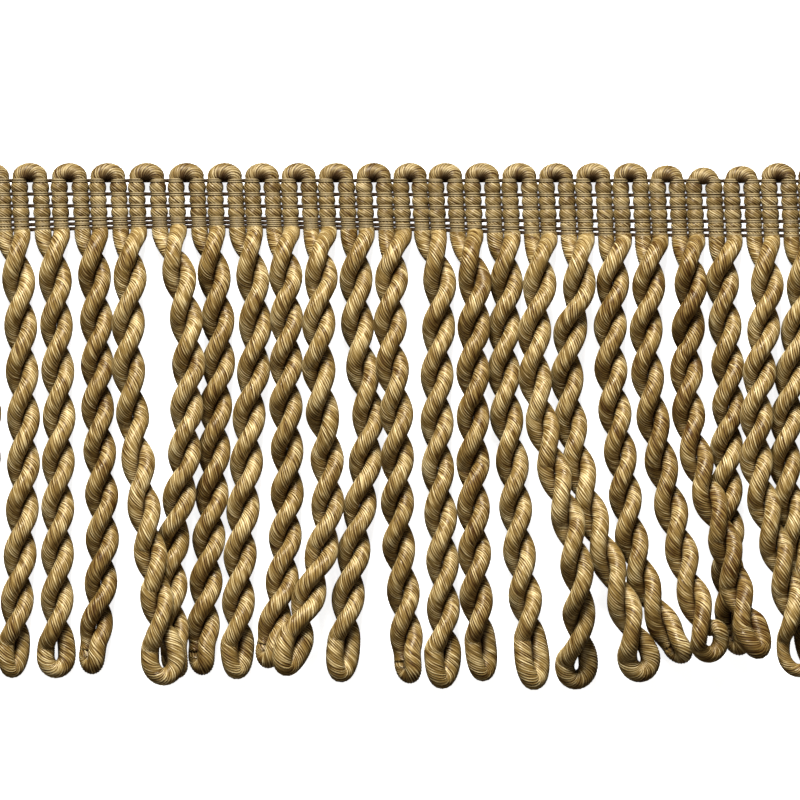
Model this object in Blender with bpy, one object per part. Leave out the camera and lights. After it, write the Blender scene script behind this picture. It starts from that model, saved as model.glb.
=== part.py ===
"""Cord fringe trim: a cut length of bullion fringe, lying face up and flat on a surface.

One thick wrapped cord is woven up and down through the narrow heading and turned over in an arch at its
top edge. Between the arches it runs out below the heading in long loops, each twisted on itself into a
two-strand bullion. X runs along the heading, +Y points to the arches, and the trim rests at Z = 0.
The origin is under the middle of the whole trim.
"""

from collections import namedtuple
from math import atan2, ceil, cos, pi, sin, sqrt

import bmesh
import bpy
from mathutils import Vector

MM = 0.001

# Driving sizes, in millimetres.
STRAND = 3.1                  # thickness of the wrapped cord
BULLION = 6.6                 # width of two strands lying side by side
BULLION_AXIS = 3.1            # height of a bullion's axis where it lies on the surface
HEADING_THICKNESS = 3.0
HEADING_DEPTH = (12.9, 14.6)  # arch tops to the lower edge, at the left and right ends
ARCH_RISE = 2.0               # height of an arch above the notch beside it
ARCH_POINTS = 5               # points on an arch's outline
COLUMN_LEAN = 0.5             # how far the columns lean to the right by the time they leave the heading
SPINE = 1.6                   # height of the strip in which the bullions leave the heading
GAP = 0.3                     # kept between the heading and the fringe
STACK_CLEARANCE = 0.3         # kept between a bullion and the one that lies over it
RAMP = 26.0                   # length over which a bullion climbs onto its neighbour
TWIST_START = 0.75            # straight cord below the heading before the twist begins
RINGS_PER_TURN = 6            # sections in one turn of the twist

# One row for each bullion, from left to right, in millimetres.
#   pitch   distance between the arches on its two sides
#   x24...  how far it has swung to the right at that depth below the arches; x_end, at its bottom
#   twisted depth at which its twist ends and its loop opens
#   length  depth of its bottom below the arches
#   turns   turns of its twist: a whole number of half turns leaves the loop face up
#   loop    width of the loop
#   layer   a bullion lies over its neighbours of a lower layer
Bullion = namedtuple("Bullion", "pitch x24 x36 x48 x60 x72 x84 x_end twisted length turns loop layer")
BULLIONS = [Bullion(*row) for row in (
    # pitch x24  x36    x48    x60    x72    x84  x_end twisted length turns loop layer
    (7.4,  1.3,   1.8,   2.4,   2.2,   1.6,   0.8,   0.2, 92.0,  98.2, 4.50, 7.2, 0),
    (7.3,  1.7,   2.1,   2.5,   2.5,   2.1,   1.4,   0.2, 93.7,  99.8, 4.50, 6.8, 0),
    (7.8,  1.2,   1.5,   1.9,   1.7,   1.6,   1.5,   1.2, 93.4,  99.8, 4.50, 7.7, 0),
    (7.3,  1.3,   1.7,   1.8,   2.4,   2.7,   2.2,   0.2, 94.0,  99.0, 4.75, 7.0, 0),
    (7.6,  0.7,   0.3,   1.1,   2.7,   4.3,   6.1,   7.8, 93.3, 100.9, 4.50, 8.7, 2),
    (7.7,  3.0,   4.4,   4.0,   3.3,   1.4,   1.0,   1.9, 94.5,  99.8, 4.75, 7.0, 1),
    (7.4,  1.9,   2.6,   1.9,   1.5,   0.7,  -0.1,  -1.0, 94.0,  99.2, 4.75, 7.0, 0),
    (7.2,  2.0,   2.3,   1.2,   0.5,  -0.4,  -0.9,  -1.3, 93.9, 100.0, 4.50, 7.2, 0),
    (7.1,  1.2,   1.2,   1.1,   1.4,   1.0,   0.0,  -3.0, 93.4,  97.8, 4.75, 7.0, 1),
    (7.2,  0.8,   0.2,   1.0,   2.1,   1.5,  -1.6,  -6.7, 92.5,  99.4, 4.50, 7.9, 2),
    (7.4,  0.2,   0.9,   2.6,   1.8,   0.2,  -1.3,  -2.9, 92.9, 100.6, 4.50, 7.2, 0),
    (7.0, -0.2,  -0.3,   0.8,   1.0,   1.1,   2.2,   3.3, 95.9, 100.9, 4.75, 7.0, 1),
    (6.7,  2.4,   1.9,   1.8,   2.0,   2.7,   3.0,   2.8, 95.2, 101.9, 4.50, 7.9, 0),
    (7.2,  2.2,   1.8,   1.8,   1.8,   2.0,   2.4,   4.0, 92.9, 100.4, 4.50, 6.8, 1),
    (7.2,  1.1,   0.5,   1.0,   2.4,   3.2,   4.7,   6.7, 92.9, 102.1, 4.50, 7.5, 0),
    (7.1,  0.3,  -0.9,   0.3,   3.1,   6.4,   7.8,   7.3, 96.2, 102.1, 4.50, 8.5, 2),
    (7.2,  0.8,  -1.4,  -1.1,   1.0,   4.4,   8.9,  13.7, 94.9, 100.6, 4.50, 8.5, 1),
    (7.2,  0.1,  -0.4,   0.5,   2.1,   3.6,   7.2,  14.6, 93.6,  97.3, 4.75, 7.0, 0),
    (7.1, -0.1,  -0.6,   0.5,   2.7,   5.4,   8.5,  13.3, 92.9,  96.9, 4.50, 8.7, 1),
    (7.0,  0.9,   0.2,   0.4,   2.7,   6.9,  10.1,  14.7, 90.5,  96.1, 4.50, 7.5, 2),
    (7.4, -0.1,   0.8,   1.1,   0.6,   1.0,   1.1,   3.5, 91.0,  95.5, 4.75, 7.0, 0),
    (7.2,  1.2,   0.1,  -0.9,  -0.8,   2.1,   5.3,   7.8, 91.3,  99.4, 4.50, 8.5, 1),
    (7.1,  1.1,  -0.5,  -2.0,  -2.4,  -0.7,   1.7,   3.8, 92.0,  98.6, 4.50, 8.0, 0),
)]
SWING_DEPTHS = (24.0, 36.0, 48.0, 60.0, 72.0, 84.0)

# How far single arches sit below the level of the others, by their place in the row from the left.
LOW_ARCHES = {19: 0.5, 20: 0.9, 21: 0.6}

ARCH_X = [0.0]
for bullion in BULLIONS:
    ARCH_X.append(ARCH_X[-1] + bullion.pitch)
MEAN_PITCH = ARCH_X[-1] / len(BULLIONS)
LEFT, RIGHT = -MEAN_PITCH / 2, ARCH_X[-1] + MEAN_PITCH / 2
LENGTH = max(bullion.length for bullion in BULLIONS)
CENTRE_X = (LEFT + RIGHT) / 2
CENTRE_DEPTH = LENGTH / 2


def place(x, depth, height):
    """Point in the part's own frame, in metres, from millimetres along, below the arches and above Z = 0."""
    return Vector((x - CENTRE_X, CENTRE_DEPTH - depth, height)) * MM


def heading_depth(x):
    """Depth of the heading's lower edge, which drops slightly towards the right end."""
    left, right = HEADING_DEPTH
    return left + (right - left) * (x - LEFT) / (RIGHT - LEFT)


def smooth_through(knots, values, at):
    """Smooth curve through the knots, with each slope taken from the knots on its two sides."""
    last = len(knots) - 1
    slopes = []
    for i in range(len(knots)):
        low, high = max(i - 1, 0), min(i + 1, last)
        slopes.append((values[high] - values[low]) / (knots[high] - knots[low]))
    i = max(k for k in range(last) if knots[k] <= at or k == 0)
    span = knots[i + 1] - knots[i]
    t = (at - knots[i]) / span
    return ((2 * t**3 - 3 * t**2 + 1) * values[i] + (t**3 - 2 * t**2 + t) * span * slopes[i]
            + (3 * t**2 - 2 * t**3) * values[i + 1] + (t**3 - t**2) * span * slopes[i + 1])


def root_x(index):
    """Middle of a bullion where it leaves the heading."""
    return (ARCH_X[index] + ARCH_X[index + 1]) / 2 + COLUMN_LEAN


def root_depth(index):
    return heading_depth(root_x(index)) + GAP + SPINE / 2


def swing(index, depth):
    """Distance along the heading of a bullion's axis at a depth below the arches."""
    bullion = BULLIONS[index]
    knots = (root_depth(index), *SWING_DEPTHS, bullion.length)
    home = root_x(index) - COLUMN_LEAN
    swings = (bullion.x24, bullion.x36, bullion.x48, bullion.x60, bullion.x72, bullion.x84, bullion.x_end)
    return smooth_through(knots, [root_x(index)] + [home + value for value in swings], depth)


def angle(index, depth):
    """Turn of the two strands about the bullion's axis, as on a right-hand screw: 0 is side by side."""
    bullion = BULLIONS[index]
    start = heading_depth(root_x(index)) + TWIST_START
    return 2 * pi * bullion.turns * min(max((depth - start) / (bullion.twisted - start), 0.0), 1.0)


def arm(index, depth):
    """Distance from a bullion's axis to the middle of either strand."""
    bullion = BULLIONS[index]
    quarter_turn = (bullion.twisted - root_depth(index)) / bullion.turns / 4
    in_loop = depth > bullion.twisted - quarter_turn
    return ((bullion.loop if in_loop else BULLION) - STRAND) / 2


def ease(t):
    t = min(max(t, 0.0), 1.0)
    return t * t * (3 - 2 * t)


def clear_of_heading(index, depth):
    """0 where a bullion leaves the heading, and 1 from most of a pitch below it."""
    return ease((depth - root_depth(index)) / (MEAN_PITCH * 0.75))


def resting_height(index, depth):
    """Height of a bullion's axis where nothing is under it: low in the heading and in a flat loop."""
    bullion = BULLIONS[index]
    free = clear_of_heading(index, depth)
    from_heading = HEADING_THICKNESS / 2 + (BULLION_AXIS - HEADING_THICKNESS / 2) * free
    edge_on = abs(sin(2 * pi * bullion.turns))
    loop_height = STRAND / 2 + (BULLION_AXIS - STRAND / 2) * edge_on
    settle = ease((depth - bullion.twisted) / (bullion.length - bullion.twisted) + 1)
    return from_heading + (loop_height - from_heading) * settle


def climb(upper, lower, depth):
    """Height at which one bullion clears the one below it at one depth, or 0 where they pass side by side."""
    reach = STRAND + STACK_CLEARANCE
    depth = min(depth, BULLIONS[lower].length - 1)
    slope = max(abs(swing(i, depth + 1) - swing(i, depth - 1)) / 2 for i in (upper, lower))
    apart = (swing(upper, depth) - swing(lower, depth)) * cos(atan2(slope, 1))
    height = 0.0
    for side in (-1, 0, 1):
        for other_side in (-1, 0, 1):
            u, v = side * arm(upper, depth), other_side * arm(lower, depth)
            across = apart + u * cos(angle(upper, depth)) - v * cos(angle(lower, depth))
            if abs(across) < reach:
                rise = v * sin(angle(lower, depth)) - u * sin(angle(upper, depth))
                height = max(height, rise + sqrt(reach**2 - across**2))
    return height


def stacked_lifts():
    """Height of each bullion above its place on the surface, at each whole millimetre of depth."""
    depths = range(int(LENGTH) + 1)
    lifts = {i: [0.0] * len(depths) for i in range(len(BULLIONS))}
    for index in sorted(range(len(BULLIONS)), key=lambda i: BULLIONS[i].layer):
        needs = [0.0] * len(depths)
        for other in range(max(index - 2, 0), min(index + 3, len(BULLIONS))):
            if BULLIONS[other].layer >= BULLIONS[index].layer:
                continue
            for depth in depths[int(root_depth(index)) + 2:int(BULLIONS[index].length)]:
                height = climb(index, other, depth)
                if height > 0:
                    beside = resting_height(other, depth) - resting_height(index, depth)
                    needs[depth] = max(needs[depth], lifts[other][depth] + beside + height)
        for depth in depths:
            window = range(max(0, ceil(depth - RAMP)), min(len(depths), int(depth + RAMP)))
            lifts[index][depth] = max(needs[d] * cos(pi / 2 * (depth - d) / RAMP) ** 2 for d in window)
    return lifts


LIFTS = stacked_lifts()


def axis_height(index, depth):
    """Height of a bullion's axis, lifted where the bullion crosses another."""
    lift = smooth_through(range(int(LENGTH) + 1), LIFTS[index], min(depth, LENGTH))
    return resting_height(index, depth) + lift * clear_of_heading(index, depth)


def axis_point(index, depth):
    return Vector((swing(index, depth), depth, axis_height(index, depth)))


def section(index, depth, width, thickness):
    """Six-sided section of a bullion: two strands side by side, turned about the bullion's axis."""
    step = 0.5
    before, after = axis_point(index, depth - step), axis_point(index, depth + step)
    along = Vector((after.x - before.x, before.y - after.y, after.z - before.z)).normalized()
    across = Vector((0, 0, 1)).cross(along).normalized()
    upward = along.cross(across)
    turn = angle(index, depth)
    centre = axis_point(index, depth)
    ring = []
    for u, v in ((1, 0), (0.5, 1), (-0.5, 1), (-1, 0), (-0.5, -1), (0.5, -1)):
        side, rise = u * width / 2, v * thickness / 2
        x = side * cos(turn) - rise * sin(turn)
        z = side * sin(turn) + rise * cos(turn)
        offset = across * x + upward * z
        ring.append(place(centre.x, centre.y, centre.z) + offset * MM)
    return ring


def bullion_sections(index):
    """Sections down one bullion, three to a half turn, and the round end of its loop."""
    bullion = BULLIONS[index]
    top = root_depth(index)
    start, end = heading_depth(root_x(index)) + TWIST_START, bullion.twisted
    count = round(bullion.turns * RINGS_PER_TURN)
    rings = [section(index, top, BULLION, STRAND)]
    for i in range(1, count):
        rings.append(section(index, start + (end - start) * i / count, BULLION, STRAND))
    for share, width, thickness in ((0.0, 1.0, 1.0), (0.6, 0.95, 1.0), (1.0, 0.4, 0.7)):
        depth = end + (bullion.length - end) * share
        rings.append(section(index, depth, bullion.loop * width, STRAND * thickness))
    return rings


def material(name, colour, roughness):
    made = bpy.data.materials.new(name)
    made.use_nodes = True
    shader = made.node_tree.nodes["Principled BSDF"]
    shader.inputs["Base Color"].default_value = (*colour, 1.0)
    shader.inputs["Roughness"].default_value = roughness
    shader.inputs["Metallic"].default_value = 0.0
    return made


def lofted(name, bodies, collection):
    """Closed bodies, each skinned over its own list of sections."""
    mesh = bmesh.new()
    for rings in bodies:
        loops = [[mesh.verts.new(point) for point in ring] for ring in rings]
        for above, below in zip(loops, loops[1:]):
            for i in range(len(above)):
                j = (i + 1) % len(above)
                mesh.faces.new((above[i], above[j], below[j], below[i]))
        mesh.faces.new(reversed(loops[0]))
        mesh.faces.new(loops[-1])
    bmesh.ops.triangulate(mesh, faces=mesh.faces)
    bmesh.ops.recalc_face_normals(mesh, faces=mesh.faces)
    data = bpy.data.meshes.new(name)
    mesh.to_mesh(data)
    mesh.free()
    made = bpy.data.objects.new(name, data)
    collection.objects.link(made)
    return made


def flat_piece(name, outline, low, high, collection):
    """Flat piece cut to an outline of (x, depth) points, from one height to another."""
    curve = bpy.data.curves.new(name, "CURVE")
    curve.dimensions = "2D"
    curve.fill_mode = "BOTH"
    curve.extrude = (high - low) / 2 * MM
    spline = curve.splines.new("POLY")
    spline.points.add(len(outline) - 1)
    for point, (x, depth) in zip(spline.points, outline):
        point.co = (*place(x, depth, 0.0).xy, 0.0, 1.0)
    spline.use_cyclic_u = True
    drawn = bpy.data.objects.new(name + "_outline", curve)
    collection.objects.link(drawn)
    bpy.context.view_layer.update()
    data = bpy.data.meshes.new_from_object(drawn.evaluated_get(bpy.context.evaluated_depsgraph_get()))
    bpy.data.objects.remove(drawn)
    mesh = bmesh.new()
    mesh.from_mesh(data)
    bmesh.ops.remove_doubles(mesh, verts=mesh.verts, dist=0.00001)
    bmesh.ops.translate(mesh, verts=mesh.verts, vec=(0, 0, (low + high) / 2 * MM))
    bmesh.ops.recalc_face_normals(mesh, faces=mesh.faces)
    mesh.to_mesh(data)
    mesh.free()
    made = bpy.data.objects.new(name, data)
    collection.objects.link(made)
    return made


def heading_outline():
    """The arches along the top, the cut right end, the lower edge and the cut left end."""
    points = []
    for index, x in enumerate(ARCH_X):
        drop = LOW_ARCHES.get(index, 0.0)
        left = (ARCH_X[index - 1] + x) / 2 if index else LEFT
        right = (ARCH_X[index + 1] + x) / 2 if index < len(ARCH_X) - 1 else RIGHT
        for i in range(ARCH_POINTS):
            turn = pi * (i + 0.5) / ARCH_POINTS
            along = (left + right) / 2 - (right - left) / 2 * cos(turn)
            points.append((along, drop + ARCH_RISE * (1 - sin(turn))))
    points.append((RIGHT, ARCH_RISE))
    points.append((RIGHT, heading_depth(RIGHT)))
    points.append((LEFT, heading_depth(LEFT)))
    points.append((LEFT, ARCH_RISE))
    return points


def spine_outline():
    """The strip just below the heading, from the first bullion's left strand to the last one's right."""
    left = root_x(0) - BULLION / 2
    right = root_x(len(BULLIONS) - 1) + BULLION / 2
    top_left, top_right = heading_depth(left) + GAP, heading_depth(right) + GAP
    return [(left, top_left), (right, top_right), (right, top_right + SPINE), (left, top_left + SPINE)]


def cut(target, cutter, operation):
    modifier = target.modifiers.new(operation.lower(), "BOOLEAN")
    modifier.operation = operation
    modifier.solver = "EXACT"
    modifier.object = cutter


def guide(thing, guides):
    """Keeps a cutter out of the build."""
    thing.hide_render = True
    thing.display_type = "WIRE"
    for holder in thing.users_collection:
        holder.objects.unlink(thing)
    guides.objects.link(thing)


def build_heading(parts):
    heading = flat_piece("heading", heading_outline(), 0.0, HEADING_THICKNESS, parts)
    heading.data.materials.append(material("woven_heading", (0.30, 0.215, 0.10), 0.75))


def build_fringe(parts, guides):
    """All the bullions as one comb along the heading's lower edge, flattened where it rests."""
    sunk = 0.2
    fringe = flat_piece("fringe", spine_outline(), -sunk, HEADING_THICKNESS - GAP, parts)
    bullions = lofted("bullions", [bullion_sections(i) for i in range(len(BULLIONS))], parts)
    guide(bullions, guides)
    cut(fringe, bullions, "UNION")

    depth = 5.0
    bpy.ops.mesh.primitive_cube_add(size=1.0, location=(0, 0, -depth / 2 * MM))
    below = bpy.context.active_object
    below.name = "below_the_surface"
    below.scale = (2 * (RIGHT - LEFT) * MM, 2 * LENGTH * MM, depth * MM)
    guide(below, guides)
    cut(fringe, below, "DIFFERENCE")
    fringe.data.materials.append(material("twisted_cord", (0.42, 0.31, 0.15), 0.55))


def main():
    for thing in list(bpy.data.objects):
        bpy.data.objects.remove(thing)
    parts = bpy.data.collections.new("cord_fringe_trim")
    guides = bpy.data.collections.new("guides")
    for collection in (parts, guides):
        bpy.context.scene.collection.children.link(collection)
    build_heading(parts)
    build_fringe(parts, guides)


main()
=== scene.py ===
# %% [markdown]
# # Cord fringe trim
# Bullion fringe is made from one long wrapped cord. On the loom it runs up and down through a narrow
# heading, turns over in an arch at the top edge, and between two arches it runs out below the heading in
# a long loop that is let go and twists on itself. This file dresses the plain solids of the model in the
# real cord: its wrap, its twist, the arches, and the thin threads that bind the heading.
# The first step loads the solids. Everything is placed from their boxes, in metres.

# %% Load the frame
import random
from collections import namedtuple
from math import atan2, ceil, cos, pi, radians, sin, sqrt

import bmesh
import bpy
import numpy as np
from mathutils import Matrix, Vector


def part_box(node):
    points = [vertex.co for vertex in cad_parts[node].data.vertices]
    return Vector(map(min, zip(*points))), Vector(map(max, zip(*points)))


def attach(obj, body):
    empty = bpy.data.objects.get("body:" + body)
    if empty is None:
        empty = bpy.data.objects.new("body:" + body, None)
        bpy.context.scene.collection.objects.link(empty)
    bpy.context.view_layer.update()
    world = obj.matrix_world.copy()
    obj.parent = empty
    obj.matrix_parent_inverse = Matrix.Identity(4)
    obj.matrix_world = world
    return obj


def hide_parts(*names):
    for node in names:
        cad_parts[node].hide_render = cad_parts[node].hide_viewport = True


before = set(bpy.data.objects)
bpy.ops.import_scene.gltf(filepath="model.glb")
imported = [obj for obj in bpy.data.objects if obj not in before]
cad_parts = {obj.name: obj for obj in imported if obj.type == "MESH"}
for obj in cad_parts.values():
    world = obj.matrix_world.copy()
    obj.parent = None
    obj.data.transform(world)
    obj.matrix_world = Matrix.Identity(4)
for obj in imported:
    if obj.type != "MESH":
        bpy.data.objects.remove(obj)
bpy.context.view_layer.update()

MM = 0.001
heading_low, heading_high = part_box("heading")
print("heading from", [round(v, 4) for v in heading_low], "to", [round(v, 4) for v in heading_high])

# %% [markdown]
# ## How the bullions hang
# Each bullion is limp and heavy, so it lies where it fell: it swings to one side, and some lie over their
# neighbours. A simulation could drop them, but it would not put them where the real ones lie. A short
# table, the same one that shaped the plain solids, gives each bullion's sideways place at a few depths.

# %% Table of the bullions, in millimetres
# pitch is the distance between the arches on a bullion's two sides. x24 and so on say how far it has
# swung to the right at that depth below the arches, and x_end at its bottom. Its twist ends at the depth
# twisted, its bottom is at length, loop is the width of its loop, and layer says what lies over what.
Bullion = namedtuple("Bullion", "pitch x24 x36 x48 x60 x72 x84 x_end twisted length turns loop layer")
BULLIONS = [Bullion(*row) for row in (
    # pitch x24  x36    x48    x60    x72    x84  x_end twisted length turns loop layer
    (7.4,  1.3,   1.8,   2.4,   2.2,   1.6,   0.8,   0.2, 92.0,  98.2, 4.50, 7.2, 0),
    (7.3,  1.7,   2.1,   2.5,   2.5,   2.1,   1.4,   0.2, 93.7,  99.8, 4.50, 6.8, 0),
    (7.8,  1.2,   1.5,   1.9,   1.7,   1.6,   1.5,   1.2, 93.4,  99.8, 4.50, 7.7, 0),
    (7.3,  1.3,   1.7,   1.8,   2.4,   2.7,   2.2,   0.2, 94.0,  99.0, 4.75, 7.0, 0),
    (7.6,  0.7,   0.3,   1.1,   2.7,   4.3,   6.1,   7.8, 93.3, 100.9, 4.50, 8.7, 2),
    (7.7,  3.0,   4.4,   4.0,   3.3,   1.4,   1.0,   1.9, 94.5,  99.8, 4.75, 7.0, 1),
    (7.4,  1.9,   2.6,   1.9,   1.5,   0.7,  -0.1,  -1.0, 94.0,  99.2, 4.75, 7.0, 0),
    (7.2,  2.0,   2.3,   1.2,   0.5,  -0.4,  -0.9,  -1.3, 93.9, 100.0, 4.50, 7.2, 0),
    (7.1,  1.2,   1.2,   1.1,   1.4,   1.0,   0.0,  -3.0, 93.4,  97.8, 4.75, 7.0, 1),
    (7.2,  0.8,   0.2,   1.0,   2.1,   1.5,  -1.6,  -6.7, 92.5,  99.4, 4.50, 7.9, 2),
    (7.4,  0.2,   0.9,   2.6,   1.8,   0.2,  -1.3,  -2.9, 92.9, 100.6, 4.50, 7.2, 0),
    (7.0, -0.2,  -0.3,   0.8,   1.0,   1.1,   2.2,   3.3, 95.9, 100.9, 4.75, 7.0, 1),
    (6.7,  2.4,   1.9,   1.8,   2.0,   2.7,   3.0,   2.8, 95.2, 101.9, 4.50, 7.9, 0),
    (7.2,  2.2,   1.8,   1.8,   1.8,   2.0,   2.4,   4.0, 92.9, 100.4, 4.50, 6.8, 1),
    (7.2,  1.1,   0.5,   1.0,   2.4,   3.2,   4.7,   6.7, 92.9, 102.1, 4.50, 7.5, 0),
    (7.1,  0.3,  -0.9,   0.3,   3.1,   6.4,   7.8,   7.3, 96.2, 102.1, 4.50, 8.5, 2),
    (7.2,  0.8,  -1.4,  -1.1,   1.0,   4.4,   8.9,  13.7, 94.9, 100.6, 4.50, 8.5, 1),
    (7.2,  0.1,  -0.4,   0.5,   2.1,   3.6,   7.2,  14.6, 93.6,  97.3, 4.75, 7.0, 0),
    (7.1, -0.1,  -0.6,   0.5,   2.7,   5.4,   8.5,  13.3, 92.9,  96.9, 4.50, 8.7, 1),
    (7.0,  0.9,   0.2,   0.4,   2.7,   6.9,  10.1,  14.7, 90.5,  96.1, 4.50, 7.5, 2),
    (7.4, -0.1,   0.8,   1.1,   0.6,   1.0,   1.1,   3.5, 91.0,  95.5, 4.75, 7.0, 0),
    (7.2,  1.2,   0.1,  -0.9,  -0.8,   2.1,   5.3,   7.8, 91.3,  99.4, 4.50, 8.5, 1),
    (7.1,  1.1,  -0.5,  -2.0,  -2.4,  -0.7,   1.7,   3.8, 92.0,  98.6, 4.50, 8.0, 0),
)]
SWING_DEPTHS = (24.0, 36.0, 48.0, 60.0, 72.0, 84.0)

ARCH_X = [0.0]
for bullion in BULLIONS:
    ARCH_X.append(ARCH_X[-1] + bullion.pitch)
MEAN_PITCH = ARCH_X[-1] / len(BULLIONS)
LEFT = -MEAN_PITCH / 2
print(len(BULLIONS), "bullions between", len(ARCH_X), "arches, mean pitch", round(MEAN_PITCH, 2), "mm")

# %% Places: along the heading, below the arches and above the surface
ORIGIN_X = heading_low[0] / MM - LEFT
TOP_Y = heading_high[1] / MM


def place(x, depth, height):
    """Point in metres, from millimetres along, below the arches and above the surface."""
    return Vector((ORIGIN_X + x, TOP_Y - depth, height)) * MM


def ease(t):
    t = min(max(t, 0.0), 1.0)
    return t * t * (3 - 2 * t)


def mix(a, b, share):
    return a + (b - a) * share


def smooth_through(knots, values, at):
    """Smooth curve through the knots, with each slope taken from the knots on its two sides."""
    last = len(knots) - 1
    at = min(max(at, knots[0]), knots[last])
    slopes = []
    for i in range(len(knots)):
        low, high = max(i - 1, 0), min(i + 1, last)
        slopes.append((values[high] - values[low]) / (knots[high] - knots[low]))
    i = max(k for k in range(last) if knots[k] <= at or k == 0)
    span = knots[i + 1] - knots[i]
    t = (at - knots[i]) / span
    return ((2 * t**3 - 3 * t**2 + 1) * values[i] + (t**3 - 2 * t**2 + t) * span * slopes[i]
            + (3 * t**2 - 2 * t**3) * values[i + 1] + (t**3 - t**2) * span * slopes[i + 1])


print("arch tops at y", round(TOP_Y, 1), "mm, first arch at x", round(ORIGIN_X, 1), "mm")

# %% [markdown]
# ## The heading's layout
# Six rows of thin thread cross the heading, each twined over and under the upright runs of cord. The rows
# are not quite parallel: towards the right end the lower ones drop. The upright runs lean to the right as
# they go down. Each row's depth is given at five places along the trim.

# %% Rows, lower edge and upright runs
ROW_PLACES = (9.0, 47.5, 86.5, 125.0, 164.0)
ROWS = (
    (3.5, 3.5, 3.5, 3.5, 3.6),
    (6.1, 6.1, 6.2, 6.3, 6.3),
    (8.4, 8.4, 8.6, 8.7, 8.7),
    (11.0, 10.8, 11.1, 11.3, 11.4),
    (12.1, 11.6, 12.1, 12.9, 13.1),
    (13.1, 12.4, 12.9, 13.9, 14.2),
)
EDGE_BELOW_ROW = 0.35      # the lower edge is this far below the last row
LEAN = 0.055               # sideways per millimetre down, from LEAN_TOP
LEAN_TOP = 4.0
COLUMN_SPREAD = 0.27       # from an arch's middle to its uprights, as a share of the pitch beside it
LOW_ARCHES = {19: 0.5, 20: 0.9, 21: 0.6}


def row_depth(row, x):
    return smooth_through(ROW_PLACES, ROWS[row], x)


def edge_depth(x):
    return row_depth(5, x) + EDGE_BELOW_ROW


def lean(depth):
    return LEAN * max(depth - LEAN_TOP, 0.0)


def arch_side(arch, side):
    """Place along the heading of an arch's left (-1) or right (1) upright, above where it leans."""
    between = arch - 1 if side < 0 else arch
    pitch = BULLIONS[between].pitch if 0 <= between < len(BULLIONS) else MEAN_PITCH
    return ARCH_X[arch] + side * COLUMN_SPREAD * pitch


UPRIGHTS = [arch_side(arch, side) for arch in range(len(ARCH_X)) for side in (-1, 1)]
print(len(UPRIGHTS), "uprights")

# %% [markdown]
# ## The twist
# When a loop of springy cord is let go it winds round itself, and the two strands end up half their
# thickness away from a common axis, like a two-ply rope. So each strand's path is worked out from the
# axis: the swing gives the axis its sideways place, the turn says where the strand is round the axis, and
# the height follows from the turn, because the lower strand lies on the surface. Where a bullion lies
# over another it is lifted clear of it, in one long low hump.

# %% Sizes of the cord and the twist
CORD = 1.67                # radius of the wrapped cord, over the yarn
TWIST_HALF = 1.58          # from a bullion's axis to the middle of a strand
TWIST_START = 0.75         # straight cord below the heading before the twist begins
TWIST_SOFT = 1.2           # length over which the twist gets going
CLEARANCE = 0.7            # between a bullion and the one over it
RAMP = 26.0                # length over which a bullion climbs onto its neighbour
EYES = {2: 0.6, 4: 1.5, 15: 0.7, 16: 0.5, 18: 2.1, 21: 3.2}    # width of the open eye in some loops
OPEN_TILT = 8              # degrees by which an open loop is tilted off the surface
CLOSED_TILT = 32
CLOSED_EYE = 0.15          # what is left between the two sides of a closed loop
WIDE_LOOP = 6.0            # a loop narrower than this is drawn tight round its end
OPEN_DROP = 1.25           # how far a loop's end drops below its centre, as a share of its half width
POINTED_DROP = 2.5
ROUND_DROP = 1.0
PATH_STEP = 0.3            # between the points of a bullion's path
BEND_STEPS = 24            # points round a loop's end or over an arch
LENGTH = max(bullion.length for bullion in BULLIONS)


def root_x(index):
    """Middle of a bullion where it leaves the heading."""
    middle = (ARCH_X[index] + ARCH_X[index + 1]) / 2
    return middle + lean(edge_depth(middle))


def twist_top(index):
    return edge_depth(root_x(index)) + TWIST_START


def swing(index, depth):
    """Place along the heading of a bullion's axis at a depth."""
    bullion = BULLIONS[index]
    top = twist_top(index)
    if depth < top:
        return root_x(index) + LEAN * (depth - top + TWIST_START)
    home = (ARCH_X[index] + ARCH_X[index + 1]) / 2
    swings = (bullion.x24, bullion.x36, bullion.x48, bullion.x60, bullion.x72, bullion.x84, bullion.x_end)
    start = root_x(index) + LEAN * TWIST_START
    return smooth_through((top, *SWING_DEPTHS, bullion.length), [start] + [home + s for s in swings], depth)


def softened(distance):
    """0 before the start and the distance itself after it, with a soft bend between."""
    if abs(distance) < TWIST_SOFT:
        return (distance + TWIST_SOFT) ** 2 / (4 * TWIST_SOFT)
    return max(distance, 0.0)


def last_turn(index):
    """Turn at which a bullion's loop lies: short of the full twist, so that it rests on one side."""
    return 2 * pi * BULLIONS[index].turns - radians(OPEN_TILT if index in EYES else CLOSED_TILT)


def turn(index, depth):
    """Turn of the strands about the axis, as on a right-hand screw: 0 is side by side."""
    bullion = BULLIONS[index]
    top = twist_top(index)
    rate = 2 * pi * bullion.turns / (bullion.twisted - top)
    left = last_turn(index) - rate * softened(depth - top)
    return last_turn(index) - rate * softened(left / rate)


def lies_flat(index):
    """Whether a bullion's twist ends with the two sides of its loop next to each other on the surface."""
    return abs(sin(2 * pi * BULLIONS[index].turns)) < 0.5


def loop_half(index):
    """From the middle of a loop to the middle of the cord: a closed loop has its two sides together."""
    return (BULLIONS[index].loop + EYES.get(index, CLOSED_EYE)) / 4


def loop_cord(index):
    """Radius of the cord in a loop, where it is not stretched by the twist and is fuller."""
    return (BULLIONS[index].loop - EYES.get(index, CLOSED_EYE)) / 4


def loop_drop(index):
    """How far a loop's end drops below its centre: wide closed loops that lie flat are the most pointed."""
    if index in EYES:
        return loop_half(index) * OPEN_DROP
    pointed = lies_flat(index) and BULLIONS[index].loop > WIDE_LOOP
    return loop_half(index) * (POINTED_DROP if pointed else ROUND_DROP)


def loop_centre(index):
    return BULLIONS[index].length - loop_cord(index) - loop_drop(index)


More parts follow.
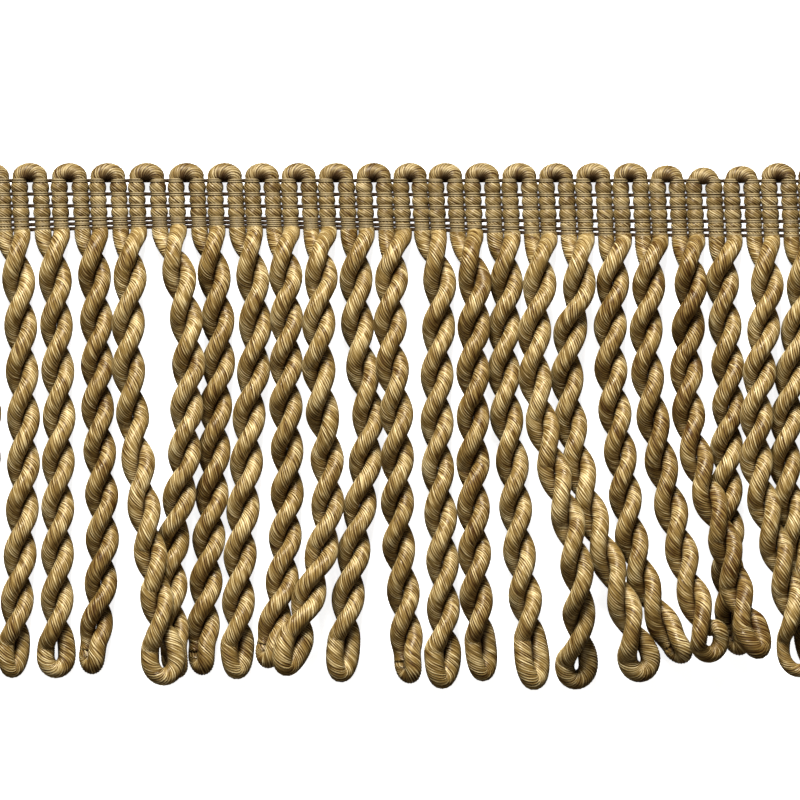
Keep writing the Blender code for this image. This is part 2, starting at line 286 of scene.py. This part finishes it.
def opening(index, depth):
    """0 down to the last crossing of the strands, rising to 1 at the middle of the loop."""
    bullion = BULLIONS[index]
    last_crossing = bullion.twisted - (bullion.twisted - twist_top(index)) / bullion.turns / 4
    return ease((depth - last_crossing) / (loop_centre(index) - last_crossing))


def spread(index, depth):
    """From the axis to the middle of either strand: the uprights' spacing, the twist, then the loop."""
    bullion = BULLIONS[index]
    upright = (0.5 - COLUMN_SPREAD) * bullion.pitch
    half = mix(upright, TWIST_HALF, ease((depth - twist_top(index)) / 3))
    return mix(half, loop_half(index), opening(index, depth))


def resting(index, depth):
    """Height of the axis that keeps the lower strand on the surface."""
    turned, whole = turn(index, depth), 2 * pi * BULLIONS[index].turns
    rise = 1.0
    if turned < pi / 2:
        rise = sin(turned)
    elif turned > whole - pi / 2 and lies_flat(index):
        rise = abs(sin(turned))
    elif depth > loop_centre(index):
        rise = abs(sin(turned))
    return mix(CORD, loop_cord(index), opening(index, depth)) + spread(index, depth) * rise


def climb(upper, lower, depth):
    """How far one bullion's axis must be above the other's at one depth, or 0 where they pass clear."""
    reach = 2 * CORD + CLEARANCE
    depth = min(depth, loop_centre(lower) + loop_half(lower) - 0.5)
    slope = max(abs(swing(i, depth + 1) - swing(i, depth - 1)) / 2 for i in (upper, lower))
    apart = (swing(upper, depth) - swing(lower, depth)) * cos(atan2(slope, 1))
    height = 0.0
    for side in (-1, 0, 1):
        for other_side in (-1, 0, 1):
            u, v = side * spread(upper, depth), other_side * spread(lower, depth)
            across = apart + u * cos(turn(upper, depth)) - v * cos(turn(lower, depth))
            if abs(across) < reach:
                rise = v * sin(turn(lower, depth)) - u * sin(turn(upper, depth))
                height = max(height, rise + sqrt(reach**2 - across**2))
    return height


def stacked_lifts():
    """Height of each bullion above its place on the surface, at each whole millimetre of depth."""
    depths = range(int(LENGTH) + 2)
    lifts = {i: [0.0] * len(depths) for i in range(len(BULLIONS))}
    for index in sorted(range(len(BULLIONS)), key=lambda i: BULLIONS[i].layer):
        needs = [0.0] * len(depths)
        for other in range(max(index - 2, 0), min(index + 3, len(BULLIONS))):
            if BULLIONS[other].layer >= BULLIONS[index].layer:
                continue
            for depth in depths[int(twist_top(index)) + 4:int(BULLIONS[index].length) + 1]:
                height = climb(index, other, depth)
                if height > 0:
                    beside = resting(other, depth) - resting(index, depth)
                    needs[depth] = max(needs[depth], lifts[other][depth] + beside + height)
        for depth in depths:
            window = range(max(0, ceil(depth - RAMP)), min(len(depths), int(depth + RAMP)))
            lifts[index][depth] = max(needs[d] * cos(pi / 2 * (depth - d) / RAMP) ** 2 for d in window)
    return lifts


LIFTS = stacked_lifts()
print("highest lift", round(max(max(lift) for lift in LIFTS.values()), 1), "mm")


# %% The path of one bullion's cord
def axis_point(index, depth):
    lift = smooth_through(range(len(LIFTS[index])), LIFTS[index], max(depth, 0.0))
    height = resting(index, depth) + lift * ease((depth - edge_depth(root_x(index))) / 6)
    return Vector((swing(index, depth), depth, height))


def axis_frame(index, depth):
    """A point of a bullion's axis and its three directions there: along it, across it and upward."""
    before, after = axis_point(index, depth - 0.5), axis_point(index, depth + 0.5)
    along = (after - before).normalized()
    across = Vector((along.y, -along.x, 0)).normalized()
    upward = across.cross(along)
    return axis_point(index, depth), along, across, upward


def strand_point(index, depth, side):
    centre, _, across, upward = axis_frame(index, depth)
    turned = turn(index, depth)
    return centre + (across * cos(turned) + upward * sin(turned)) * spread(index, depth) * side


def bullion_path(index, top):
    """Down the right strand, round the loop's end and up the left strand, with the cord's thickness."""
    centre, half = loop_centre(index), loop_half(index)
    count = int((centre - top) / PATH_STEP)
    depths = [top + (centre - top) * i / count for i in range(count + 1)]
    start, along, across, upward = axis_frame(index, centre)
    turned = turn(index, centre)
    sideways = across * cos(turned) + upward * sin(turned)
    drop = loop_drop(index)
    bend = [start + sideways * (half * cos(pi * i / BEND_STEPS)) + along * (drop * sin(pi * i / BEND_STEPS))
            for i in range(1, BEND_STEPS)]
    down = [strand_point(index, depth, 1) for depth in depths]
    up = [strand_point(index, depth, -1) for depth in reversed(depths)]
    fuller = loop_cord(index) / CORD
    swell = [mix(1.0, fuller, opening(index, depth)) for depth in depths]
    return down + bend + up, swell + [fuller] * len(bend) + swell[::-1]


print("first bullion's path has", len(bullion_path(0, 13.0)[0]), "points")

# %% [markdown]
# ## A straight run of wrapped cord
# The cord is a soft core with fourteen ends of lustrous yarn wound closely round it. The wrap could be
# only a bump in the material, but the ridges show on the cord's outline, so they are modelled: a circle
# whose every second point stands out a little is swept by a Screw modifier, left-handed as it goes.
# Laying this straight cord along a path with a Curve modifier then gives every run in the trim. Two
# attributes are stored while it is straight: how high a point is on its ridge, and where it is along the
# cord and among the ends of yarn, so that the yarn's shades follow the wrap wherever the cord goes.

# %% Make a straight run
WRAP_ENDS = 14
WRAP_LEAD = 7.2            # millimetres along the cord in one turn of the wrap
RIDGE = 0.10               # height of a yarn over the groove beside it
STEPS_PER_TURN = 20


def deselect():
    if bpy.context.mode != "OBJECT":
        bpy.ops.object.mode_set(mode="OBJECT")
    bpy.ops.object.select_all(action="DESELECT")


def store(thing, name, kind, values):
    """Put one value or vector on each point of a mesh."""
    attribute = thing.data.attributes.new(name, kind, "POINT")
    attribute.data.foreach_set("vector" if kind == "FLOAT_VECTOR" else "value", values.ravel())


def straight_cord(name, turns, shift):
    """A closed run of wrapped cord along X, so many turns of the wrap long."""
    deselect()
    bpy.ops.mesh.primitive_circle_add(vertices=2 * WRAP_ENDS, radius=(CORD - RIDGE) * MM,
                                      fill_type="NOTHING", rotation=(0, radians(90), 0))
    cord = bpy.context.active_object
    cord.name = cord.data.name = name
    bpy.ops.object.transform_apply(location=False, rotation=True, scale=False)
    bpy.ops.object.mode_set(mode="EDIT")
    bpy.ops.mesh.select_mode(type="VERT")
    mesh = bmesh.from_edit_mesh(cord.data)
    for number, point in enumerate(mesh.verts):
        point.select = number % 2 == 0
    mesh.select_flush_mode()
    bmesh.update_edit_mesh(cord.data)
    out = CORD / (CORD - RIDGE)
    bpy.ops.transform.resize(value=(1, out, out), center_override=(0, 0, 0))
    bpy.ops.object.mode_set(mode="OBJECT")
    wrap = cord.modifiers.new("wrap", "SCREW")
    wrap.axis = "X"
    wrap.angle = -2 * pi
    wrap.screw_offset = WRAP_LEAD * MM
    wrap.iterations = turns
    wrap.steps = wrap.render_steps = STEPS_PER_TURN
    bpy.ops.object.modifier_apply(modifier="wrap")
    bpy.ops.object.mode_set(mode="EDIT")
    bpy.ops.mesh.select_all(action="SELECT")
    bpy.ops.mesh.fill_holes(sides=0)
    bpy.ops.mesh.select_all(action="SELECT")
    bpy.ops.mesh.normals_make_consistent(inside=False)
    bpy.ops.object.mode_set(mode="OBJECT")
    bpy.ops.object.shade_smooth()
    points = np.empty(len(cord.data.vertices) * 3)
    cord.data.vertices.foreach_get("co", points)
    points = points.reshape(-1, 3)
    height = np.hypot(points[:, 1], points[:, 2])
    round_cord = np.arctan2(points[:, 2], points[:, 1]) + 2 * pi * points[:, 0] / (WRAP_LEAD * MM)
    wound = np.stack([points[:, 0] + shift * MM, height * np.cos(round_cord), height * np.sin(round_cord)],
                     axis=1)
    # how high a point is on its ridge: the material paints the ridges lighter and the grooves darker with
    # it, as painted highlight and painted shade
    store(cord, "ridge", "FLOAT", np.clip((height / MM - CORD + RIDGE) / RIDGE, 0, 1))
    store(cord, "wound", "FLOAT_VECTOR", wound)
    return cord


print(WRAP_ENDS, "ends, once round the cord in", WRAP_LEAD, "mm")

# %% Lay it along a path
def path_length(path):
    return sum((b - a).length for a, b in zip(path, path[1:]))


def lay_cord(name, path, thickness, shift):
    """Wrapped cord along a path in millimetres, with its thickness at each point as a share of its own."""
    path = [place(*point) for point in path]
    turns = max(1, round(path_length(path) / (WRAP_LEAD * MM)))
    cord = straight_cord(name, turns, shift)
    curve = bpy.data.curves.new("route", "CURVE")
    curve.dimensions = "3D"
    curve.twist_mode = "MINIMUM"
    curve.use_radius = curve.use_stretch = curve.use_deform_bounds = True
    spline = curve.splines.new("POLY")
    spline.points.add(len(path) - 1)
    for point, spot, size in zip(spline.points, path, thickness):
        point.co = (*spot, 1.0)
        point.radius = size
    route = bpy.data.objects.new("route", curve)
    bpy.context.scene.collection.objects.link(route)
    bend = cord.modifiers.new("lay", "CURVE")
    bend.object = route
    bend.deform_axis = "POS_X"
    bpy.ops.object.modifier_apply(modifier="lay")
    bpy.data.objects.remove(route)
    return cord


print("cord in the first bullion:", round(path_length(bullion_path(0, twist_top(0))[0])), "mm")

# %% [markdown]
# ## The bullions
# Each bullion is one run of cord that comes out from under the last row of binding, goes down, turns
# round in its loop and comes back up beside itself. The cord is a little uneven, as wound yarn is, so its
# thickness drifts by a few hundredths. Its two ends go up under the last row of binding, where the
# heading's own uprights take over. Where the two strands press together they shade each other, and that
# shade is painted into the yarn's colour, so each point also stores how deep it lies in that cleft. Some
# bullions lie lower than their neighbours, in their shade, and that is painted shade too: the whole cord
# of each is darker by the shares in the table below.

# %% Lay every bullion
SUNK = 0.55                # how far above the lower edge a bullion starts, under the last row
UNEVEN = 0.04              # share by which the cord's thickness drifts
END_SIZE = 0.8             # thickness of the two ends in the heading
CORD_SHIFT = 137.0         # moves the yarn's pattern along, from one bullion to the next
CLEFT_WIDTH = 1.7          # from the axis to where the cleft's shade begins
CLEFT_CORE = 0.6           # and to where it is full
# painted shade: bullions that lie lower than their neighbours have their whole cord painted darker by these
# shares
SHADED_BULLIONS = {3: 0.10, 6: 0.09, 8: 0.04, 11: 0.05, 13: 0.09, 17: 0.06, 18: 0.10, 19: 0.16, 20: 0.04}


def uneven(path, rng, amount):
    """Slow drift of the thickness along a path: a few waves of different lengths."""
    waves = [(rng.uniform(5, 24), rng.uniform(0, 2 * pi)) for _ in range(4)]
    travelled, values = 0.0, []
    for before, point in zip([path[0]] + path, path):
        travelled += (point - before).length
        values.append(1 + amount * sum(sin(2 * pi * travelled / long + phase) for long, phase in waves) / 4)
    return values


def depths_and_places(cord):
    """Depth, place along the heading and height of every point of a laid cord, in millimetres."""
    points = np.empty(len(cord.data.vertices) * 3)
    cord.data.vertices.foreach_get("co", points)
    points = points.reshape(-1, 3) / MM
    return TOP_Y - points[:, 1], points[:, 0] - ORIGIN_X, points[:, 2]


def smooth_step(values, low, high):
    share = np.clip((values - low) / (high - low), 0, 1)
    return share * share * (3 - 2 * share)


def shade_cleft(cord, index):
    """Store the painted shade of a bullion: how deep in the cleft between its strands each point lies, and
    how much darker its whole cord is painted.
    """
    depth, x, height = depths_and_places(cord)
    stations = np.arange(edge_depth(root_x(index)), loop_centre(index) + 0.1, 0.5)
    axis = np.array([axis_point(index, station) for station in stations])
    aside = x - np.interp(depth, stations, axis[:, 0])
    above = height - np.interp(depth, stations, axis[:, 2])
    below = np.maximum(depth - stations[-1], 0)
    away = np.hypot(np.hypot(aside, above), below)
    below_heading = smooth_step(depth, stations[0], stations[0] + 2)
    # painted shade: dark in the cleft where the strands press together, and over the whole of a low bullion
    store(cord, "cleft", "FLOAT", smooth_step(-away, -CLEFT_WIDTH, -CLEFT_CORE) * below_heading)
    store(cord, "bullion_shade", "FLOAT", np.full(len(depth), SHADED_BULLIONS.get(index, 0.0)))


rng = random.Random(11)
bullions = []
for index in range(len(BULLIONS)):
    path, swell = bullion_path(index, edge_depth(root_x(index)) - SUNK)
    thickness = [drift * share for drift, share in zip(uneven(path, rng, UNEVEN), swell)]
    for end in (0, -1):
        thickness[end] *= END_SIZE
    bullions.append(lay_cord(f"bullion_{index + 1:02d}", path, thickness, CORD_SHIFT * index))
    shade_cleft(bullions[-1], index)
print(len(bullions), "bullions,", sum(len(b.data.polygons) for b in bullions), "faces")

# %% [markdown]
# ## The heading's cord
# Above each pair of bullions the same cord goes up, over an arch and down again. The rows of thread pull
# it in where they cross, and it swells between them, so its thickness dips at each row. At the two cut
# ends of the trim the outer uprights stop just below the last row.

# %% Lay the uprights and arches
PINCH = 0.22               # share of the thickness lost under a row
PINCH_LENGTH = 0.6
PINCH_TOP = 2.6            # the cord is not pinched above this depth
UPRIGHT_SIZE = 1.015       # thickness of the uprights between the rows, as a share of the cord's
FULLER_BELOW = 0.004       # share by which the uprights gain in thickness, per millimetre down
UPRIGHT_UNEVEN = 0.03
UPRIGHT_STEP = 0.25        # between the points of an upright's path
ARCH_HALF_RISE = 0.85      # height of the cord's arch as a share of half its width
STUB = 1.0                 # how far the outer uprights go below the lower edge
ARCH_SHIFT, FIRST_ARCH_SHIFT = 61.0, 5000


def pinched(x, depth):
    dip = max(np.exp(-((depth - row_depth(row, x)) / PINCH_LENGTH) ** 2) for row in range(len(ROWS)))
    return UPRIGHT_SIZE * (1 + FULLER_BELOW * depth - PINCH * dip)


def shade_arch(cord, arch):
    """Store the painted shade on the inside of the arch, where the cord turns over. No arch has painted
    shade over its whole cord.
    """
    depth, x, _ = depths_and_places(cord)
    left, right = arch_side(arch, -1), arch_side(arch, 1)
    away = np.hypot(x - (left + right) / 2, depth - arch_shoulder(arch))
    # painted shade round the hole under the arch, where the cord turns over
    inside = smooth_step(-away, -2.1, -1.0) * smooth_step(-depth, -5.5, -3.8)
    store(cord, "cleft", "FLOAT", inside)
    store(cord, "bullion_shade", "FLOAT", np.zeros(len(depth)))


def arch_shoulder(arch):
    """Depth at which an arch's cord starts to turn over."""
    half = (arch_side(arch, 1) - arch_side(arch, -1)) / 2
    return LOW_ARCHES.get(arch, 0.0) + CORD * UPRIGHT_SIZE + half * ARCH_HALF_RISE


def arch_path(arch):
    """Up the left upright, over and down the right one."""
    left, right = arch_side(arch, -1), arch_side(arch, 1)
    half = (right - left) / 2
    shoulder = arch_shoulder(arch)
    path = []
    for side, x in ((-1, left), (1, right)):
        cut_end = (arch, side) in ((0, -1), (len(ARCH_X) - 1, 1))
        bottom = edge_depth(x) + (STUB if cut_end else 0.0)
        count = int((bottom - shoulder) / UPRIGHT_STEP)
        run = [Vector((x + lean(depth), depth, CORD)) for depth in
               (shoulder + (bottom - shoulder) * i / count for i in range(count + 1))]
        path.append(run)
    over = []
    for i in range(1, BEND_STEPS):
        t = pi * i / BEND_STEPS
        x, depth = (left + right) / 2 - half * cos(t), shoulder - half * ARCH_HALF_RISE * sin(t)
        over.append(Vector((x, depth, CORD)))
    return path[0][::-1] + over + path[1]


runs = []
for arch in range(len(ARCH_X)):
    path = arch_path(arch)
    drift = uneven(path, rng, UPRIGHT_UNEVEN)
    thickness = [pinched(p.x, p.y) * share if p.y > PINCH_TOP else UPRIGHT_SIZE * share
                 for p, share in zip(path, drift)]
    runs.append(lay_cord(f"arch_{arch + 1:02d}", path, thickness, FIRST_ARCH_SHIFT + ARCH_SHIFT * arch))
    shade_arch(runs[-1], arch)
deselect()
for run in runs:
    run.select_set(True)
bpy.context.view_layer.objects.active = runs[0]
bpy.ops.object.join()
heading_cord = runs[0]
heading_cord.name = heading_cord.data.name = "heading_cord"
print("heading cord:", len(heading_cord.data.polygons), "faces")

# %% [markdown]
# ## The binding threads
# The rows that hold the uprights are twined: one pair of thin threads goes over an upright while another
# pair goes under it, and in the gap they change places. So each row shows two fine threads on every
# upright and a small dark crossing in every gap. They are thin and many, so they are curves with a round
# bevel, turned into one mesh.

# %% Twine the rows
THREAD = 0.18              # radius of a binding thread
THREAD_HALF_GAP = 0.20     # from a pair's middle to either thread on an upright
CROSSING_HALF_GAP = 0.10   # and in a gap
CROSSING_SHIFT = 0.08      # in a gap, the two pairs pass this far above and below the row's middle
WANDER = 0.06              # how far a pair strays from the row's middle on an upright
BEDDED = 0.75              # a thread's middle is this share of its radius outside the cord
THREAD_STOPS = (-78, -50, -25, 0, 25, 50, 78)    # degrees round an upright
GAP_FROM = 60              # stops further round than this are in the gap


def thread_path(row, pair, strand, rng):
    """One thread of a row, over and under the uprights by turns."""
    path = []
    for number, upright in enumerate(UPRIGHTS):
        over = 1 if (number + pair) % 2 == 0 else -1
        x0 = upright + lean(row_depth(row, upright))
        reach = CORD * UPRIGHT_SIZE * (1 - PINCH) + THREAD * BEDDED
        wander = rng.uniform(-WANDER, WANDER)
        for degrees in THREAD_STOPS:
            around = radians(degrees)
            x = x0 + reach * sin(around)
            height = max(CORD + over * reach * cos(around), THREAD)
            in_gap = abs(degrees) > GAP_FROM
            half = CROSSING_HALF_GAP if in_gap else THREAD_HALF_GAP
            shift = CROSSING_SHIFT * (1 if pair else -1) if in_gap else wander
            path.append(Vector((x, row_depth(row, x) + strand * half + shift, height)))
    return path


curve = bpy.data.curves.new("binding_threads", "CURVE")
curve.dimensions = "3D"
curve.bevel_depth = THREAD * MM
curve.bevel_resolution = 1
curve.use_fill_caps = True
for row in range(len(ROWS)):
    for pair in (0, 1):
        for strand in (-1, 1):
            path = thread_path(row, pair, strand, rng)
            spline = curve.splines.new("POLY")
            spline.points.add(len(path) - 1)
            for point, spot in zip(spline.points, path):
                point.co = (*place(*spot), 1.0)
binding = bpy.data.objects.new("binding_threads", curve)
bpy.context.scene.collection.objects.link(binding)
deselect()
binding.select_set(True)
bpy.context.view_layer.objects.active = binding
bpy.ops.object.convert(target="MESH")
bpy.ops.object.shade_smooth()
binding = bpy.context.active_object
binding.name = binding.data.name = "binding_threads"
print("binding threads:", len(binding.data.polygons), "faces")

# %% [markdown]
# ## Writing shaders
# A material is a small sum over the surface, so it reads best as one. This class wraps a socket: adding
# or multiplying two of them makes the Math node that does it, and one method makes any other node.


# %% A socket that can be used in expressions
class Socket:
    """A socket of a material's node tree. Numbers and other sockets combine with it."""

    def __init__(self, tree, socket=None):
        self.tree, self.socket = tree, socket

    def node(self, kind, settings=None, inputs=None, output=0):
        """Add a node: its settings first, then the values or links of its sockets."""
        made = self.tree.nodes.new(kind)
        for name, value in (settings or {}).items():
            if name == "stops":
                for number, (position, colour) in enumerate(value):
                    ramp = made.color_ramp.elements
                    stop = ramp[number] if number < 2 else ramp.new(position)
                    stop.position, stop.color = position, (*colour, 1.0)
            else:
                setattr(made, name, value)
        for name, value in (inputs or {}).items():
            if isinstance(value, Socket):
                self.tree.links.new(value.socket, made.inputs[name])
            else:
                made.inputs[name].default_value = value
        return Socket(self.tree, made.outputs[output])

    def math(self, operation, *values):
        return self.node("ShaderNodeMath", {"operation": operation}, dict(enumerate(values)))

    def __add__(self, other):
        return self.math("ADD", self, other)

    def __sub__(self, other):
        return self.math("SUBTRACT", self, other)

    def __rsub__(self, other):
        return self.math("SUBTRACT", other, self)

    def __mul__(self, other):
        return self.math("MULTIPLY", self, other)

    def __pow__(self, other):
        return self.math("POWER", self, other)

    __radd__, __rmul__ = __add__, __mul__


def blend(share, first, second):
    """Mix of two colours, which may be sockets or plain colours, by a share that is a socket."""
    inputs = {0: share}
    for slot, colour in ((6, first), (7, second)):
        inputs[slot] = colour if isinstance(colour, Socket) else (*colour, 1.0)
    return share.node("ShaderNodeMix", {"data_type": "RGBA"}, inputs, output=2)


def noise(where, scale, detail, stretch=(1, 1, 1)):
    """Noise from 0 to 1 over a vector, with a scale per metre in each direction."""
    vector = where.node("ShaderNodeVectorMath", {"operation": "MULTIPLY"},
                        {0: where, 1: tuple(scale * s for s in stretch)})
    return where.node("ShaderNodeTexNoise", None, {"Vector": vector, "Scale": 1.0, "Detail": detail})


# %% [markdown]
# ## The yarn's finish
# Rayon yarn is lustrous: it catches a broad soft highlight on each ridge, and its colour is also painted
# lighter on the ridges and dark brown in the grooves between the ends, as painted highlight and painted
# shade. Its shade drifts along the cord and differs a little from one end to the next, and fine filaments
# run along each wrap. The patterns read the place stored on the straight cord, so they follow the wrap
# round every bend.


# %% Wrapped cord and binding thread
# painted shade: the brown painted into the cleft between the strands and inside the arches
PAINTED_CLEFT_SHADE = (0.030, 0.009, 0.002)
DRIFT_SCALE, ENDS_SCALE, STROKES_SCALE = 150, 1100, 3000    # waves in a metre of the noises
LUSTRE_TINT = (1.0, 0.88, 0.66, 1.0)


def yarn(name, dark, middle, light, roughness):
    """Finish of wrapped yarn: painted shade in the grooves, painted highlight on the ridges, drifting
    shade, filaments.
    """
    made = bpy.data.materials.new(name)
    made.use_nodes = True
    tree = made.node_tree
    shader = tree.nodes["Principled BSDF"]
    start = Socket(tree)
    ridge = start.node("ShaderNodeAttribute", {"attribute_name": "ridge"}, output="Fac")
    wound = start.node("ShaderNodeAttribute", {"attribute_name": "wound"}, output="Vector")
    drift = noise(wound, DRIFT_SCALE, 2.0)
    ends = noise(wound, ENDS_SCALE, 1.0, (0.30, 1.0, 1.0))
    strokes = noise(wound, STROKES_SCALE, 1.0, (0.2, 1.0, 1.0))
    cleft = start.node("ShaderNodeAttribute", {"attribute_name": "cleft"}, output="Fac")
    bullion_shade = start.node("ShaderNodeAttribute", {"attribute_name": "bullion_shade"}, output="Fac")
    # ridge gives the painted highlight on the ridges and the painted shade in the grooves; the noises are
    # the yarn's own tone; the last term is painted shade on low bullions
    level = ridge * 0.5 + (ends - 0.5) * 0.8 + (strokes - 0.5) * 1.5 + (drift - 0.5) * 0.6 + 0.13 - bullion_shade
    colour = start.node("ShaderNodeValToRGB", {"stops": [(0.0, dark), (1.0, light), (0.45, middle)]},
                        {"Fac": level})
    # painted shade in the cleft between the strands and inside the arches
    colour = blend(cleft * 0.85, colour, PAINTED_CLEFT_SHADE)
    tree.links.new(colour.socket, shader.inputs["Base Color"])
    normal = start.node("ShaderNodeBump", None, {"Strength": 0.7, "Distance": 0.00012, "Height": level})
    tree.links.new(normal.socket, shader.inputs["Normal"])
    rough = start.node("ShaderNodeMapRange", None,
                       {"Value": strokes, "From Min": 0.3, "From Max": 0.7,
                        "To Min": roughness - 0.08, "To Max": roughness + 0.1})
    tree.links.new(rough.socket, shader.inputs["Roughness"])
    shader.inputs["Specular IOR Level"].default_value = 0.45
    shader.inputs["Specular Tint"].default_value = LUSTRE_TINT
    return made


cord_finish = yarn("cord_yarn", (0.045, 0.016, 0.002), (0.235, 0.150, 0.042), (0.76, 0.63, 0.35), 0.36)
heading_finish = yarn("heading_yarn", (0.038, 0.015, 0.003), (0.190, 0.125, 0.040), (0.52, 0.42, 0.23),
                      0.44)


def thread_finish():
    """Dull fine thread: a flicker of shade on its upper side, and painted shade low down in the gaps, where
    it passes between the uprights.
    """
    made = bpy.data.materials.new("binding_thread")
    made.use_nodes = True
    tree = made.node_tree
    shader = tree.nodes["Principled BSDF"]
    start = Socket(tree)
    where = start.node("ShaderNodeTexCoord", output="Object")
    fibre = noise(where, 1800, 3.0, (2.0, 1.0, 1.0))
    drift = noise(where, 140, 1.0)
    height = where.node("ShaderNodeSeparateXYZ", None, {0: where}, output=2)
    # painted shade: the thread is nearly black where it lies low, in the gaps between the uprights
    on_top = where.node("ShaderNodeMapRange", None,
                        {"Value": height, "From Min": 0.0021, "From Max": 0.0031,
                         "To Min": 0.03, "To Max": 1.0})
    shade = (fibre * 0.6 + drift * 0.4) * on_top
    colour = blend(shade, (0.03, 0.013, 0.003), (0.42, 0.32, 0.15))
    tree.links.new(colour.socket, shader.inputs["Base Color"])
    normal = start.node("ShaderNodeBump", None, {"Strength": 0.4, "Distance": 0.00004, "Height": fibre})
    tree.links.new(normal.socket, shader.inputs["Normal"])
    shader.inputs["Roughness"].default_value = 0.6
    return made


binding_finish = thread_finish()
for piece, finish in [(b, cord_finish) for b in bullions] + [(heading_cord, heading_finish),
                                                            (binding, binding_finish)]:
    piece.data.materials.clear()
    piece.data.materials.append(finish)
print("finishes:", sorted(m.name for m in bpy.data.materials if m.users))

# %% [markdown]
# ## Floor, light and camera
# The trim lies face up on a white table. The key lamp stands beyond the heading and fairly low, so every
# strand is bright on the side towards the heading and falls into shade on the other; a weak lamp on the
# opposite side keeps those shades brown instead of black. The table is bright in itself but is hidden from
# the light that bounces off the trim, or it would fill every groove. The camera looks straight down from
# far away with a long lens, so that nothing leans outwards.

# %% Floor
deselect()
bpy.ops.mesh.primitive_plane_add(size=3.0, location=(0, 0, 0))
floor = bpy.context.active_object
floor.name = floor.data.name = "floor"
bpy.ops.object.mode_set(mode="EDIT")
bpy.ops.mesh.select_all(action="SELECT")
bpy.ops.mesh.subdivide(number_cuts=3)
bpy.ops.object.mode_set(mode="OBJECT")
paper = bpy.data.materials.new("white_table")
paper.use_nodes = True
surface = paper.node_tree.nodes["Principled BSDF"]
surface.inputs["Base Color"].default_value = (0.9, 0.9, 0.9, 1.0)
surface.inputs["Roughness"].default_value = 0.9
surface.inputs["Emission Color"].default_value = (1.0, 1.0, 1.0, 1.0)
surface.inputs["Emission Strength"].default_value = 0.88
floor.data.materials.append(paper)
floor.visible_diffuse = False
floor.visible_glossy = False
print("floor", [round(side, 1) for side in floor.dimensions])


# %% Lamps
def lamp(name, place_at, size, watts, colour):
    """Square area lamp that faces the trim."""
    light = bpy.data.lights.new(name, "AREA")
    light.shape = "SQUARE"
    light.size = size
    light.energy = watts
    light.color = colour
    made = bpy.data.objects.new(name, light)
    made.location = place_at
    made.rotation_euler = (-Vector(place_at)).to_track_quat("-Z", "Y").to_euler()
    bpy.context.scene.collection.objects.link(made)
    return made


lamp("key", (-0.10, 1.10, 0.90), 0.45, 53.0, (1.0, 0.98, 0.94))
lamp("fill", (-0.5, -0.5, 1.0), 1.0, 2.6, (1.0, 0.95, 0.86))
world = bpy.data.worlds.new("room")
world.use_nodes = True
world.node_tree.nodes["Background"].inputs["Color"].default_value = (1.0, 0.84, 0.62, 1.0)
world.node_tree.nodes["Background"].inputs["Strength"].default_value = 0.06
bpy.context.scene.world = world
bpy.context.scene.view_settings.view_transform = "Standard"

# %% Camera
VIEW_WIDTH = 0.155         # metres of trim across the picture
CAMERA_HEIGHT = 1.5
VIEW_MIDDLE = (0.0030, 0.0051)
camera_data = bpy.data.cameras.new("camera")
camera_data.sensor_width = 36.0
camera_data.lens = 36.0 * CAMERA_HEIGHT / VIEW_WIDTH
camera = bpy.data.objects.new("camera", camera_data)
camera.location = (*VIEW_MIDDLE, CAMERA_HEIGHT)
bpy.context.scene.collection.objects.link(camera)
bpy.context.scene.camera = camera
print("lens", round(camera_data.lens), "mm")

# %% [markdown]
# ## What each piece stands for
# The bullions stand for the comb of plain solids below the heading, and the heading's cord and threads
# for the plain strip. The trim is one limp piece of cloth laid flat, so all its pieces are attached to
# one body, the root.

for bullion in bullions:
    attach(bullion, "root")
    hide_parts("fringe")
for piece in (heading_cord, binding):
    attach(piece, "root")
    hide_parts("heading")

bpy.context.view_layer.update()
triangles = sum(sum(len(p.vertices) - 2 for p in piece.data.polygons)
                for piece in (*bullions, heading_cord, binding))
print("triangles:", triangles)
